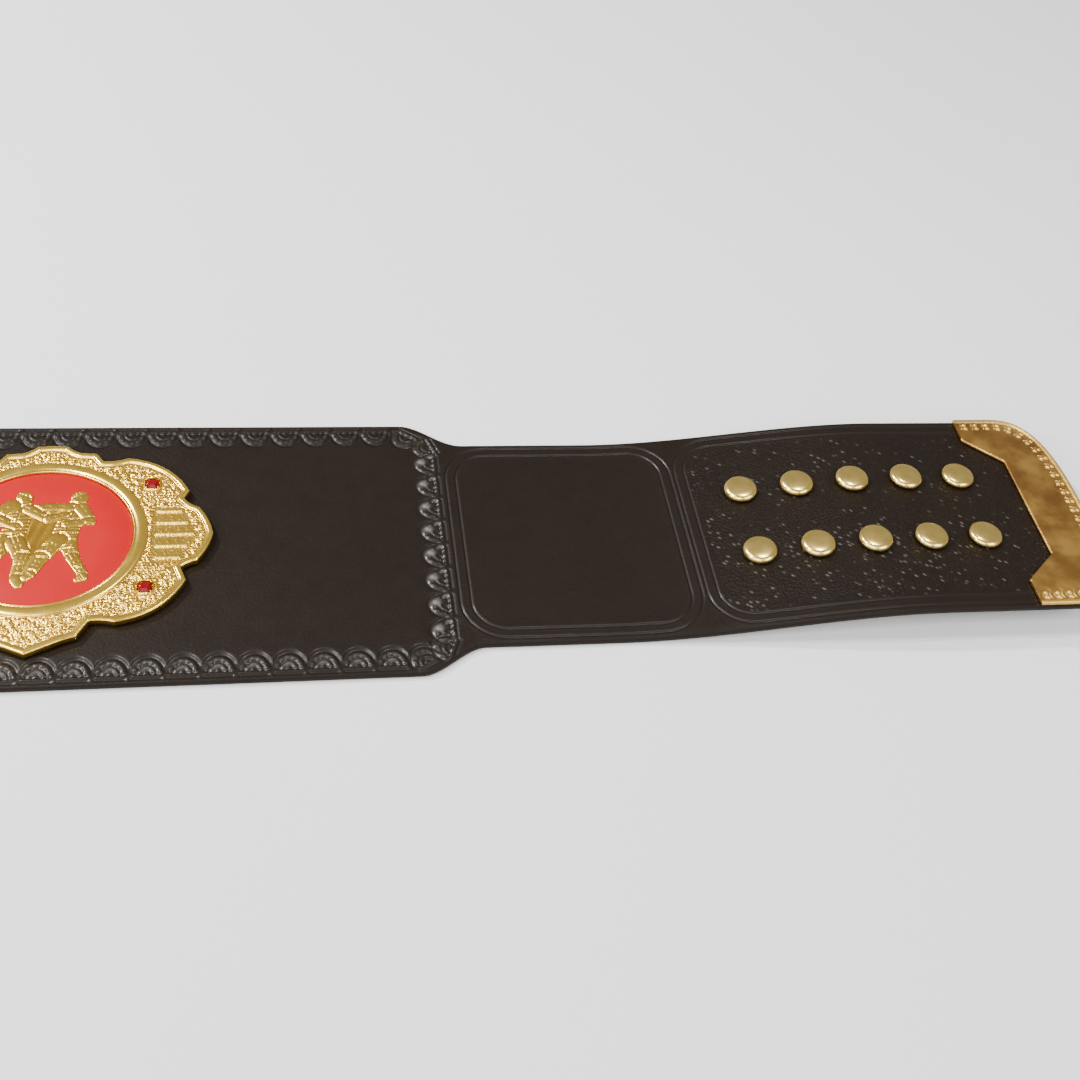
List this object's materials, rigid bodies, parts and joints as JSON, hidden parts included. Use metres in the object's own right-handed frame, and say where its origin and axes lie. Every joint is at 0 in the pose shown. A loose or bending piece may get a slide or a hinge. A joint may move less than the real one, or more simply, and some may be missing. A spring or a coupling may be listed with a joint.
{
  "type": "championship title belt",
  "caption": "Wide tooled leather belt with a scalloped gold centre plate round a red field, gold tip plates, and snap caps on one tail that close on studs on the other.",
  "frame": {"origin": "middle of the belt on the surface that it lies on", "axes": "+X along the belt towards the tail with the snap caps, +Y across it towards its upper edge when worn, +Z out of its front face"},
  "size_m": [0.9058, 0.14, 0.0199],
  "materials": {
    "leather": "dark tooled leather, satin, fine grain",
    "gold_plate": "polished gold-toned casting with fine relief",
    "gold_tip": "brushed dark gold sheet with a beaded edge",
    "snap_metal": "polished pale brass",
    "red_enamel": "smooth red enamel, satin",
    "red_stone": "faceted red glass"
  },
  "bodies": {
    "root": {"strap": "leather", "centre_plate": "gold_plate", "enamel": "red_enamel", "stone_upper_right": "red_stone", "stone_lower_right": "red_stone", "stone_upper_left": "red_stone", "stone_lower_left": "red_stone", "tip_plate_right": "gold_tip", "tip_plate_left": "gold_tip", "snap_cap_1": "snap_metal", "snap_cap_2": "snap_metal", "snap_cap_3": "snap_metal", "snap_cap_4": "snap_metal", "snap_cap_5": "snap_metal", "snap_cap_6": "snap_metal", "snap_cap_7": "snap_metal", "snap_cap_8": "snap_metal", "snap_cap_9": "snap_metal", "snap_cap_10": "snap_metal", "snap_stud_1": "snap_metal", "snap_stud_2": "snap_metal", "snap_stud_3": "snap_metal", "snap_stud_4": "snap_metal", "snap_stud_5": "snap_metal", "snap_stud_6": "snap_metal", "snap_stud_7": "snap_metal", "snap_stud_8": "snap_metal", "snap_stud_9": "snap_metal", "snap_stud_10": "snap_metal"}
  },
  "joints": []
}
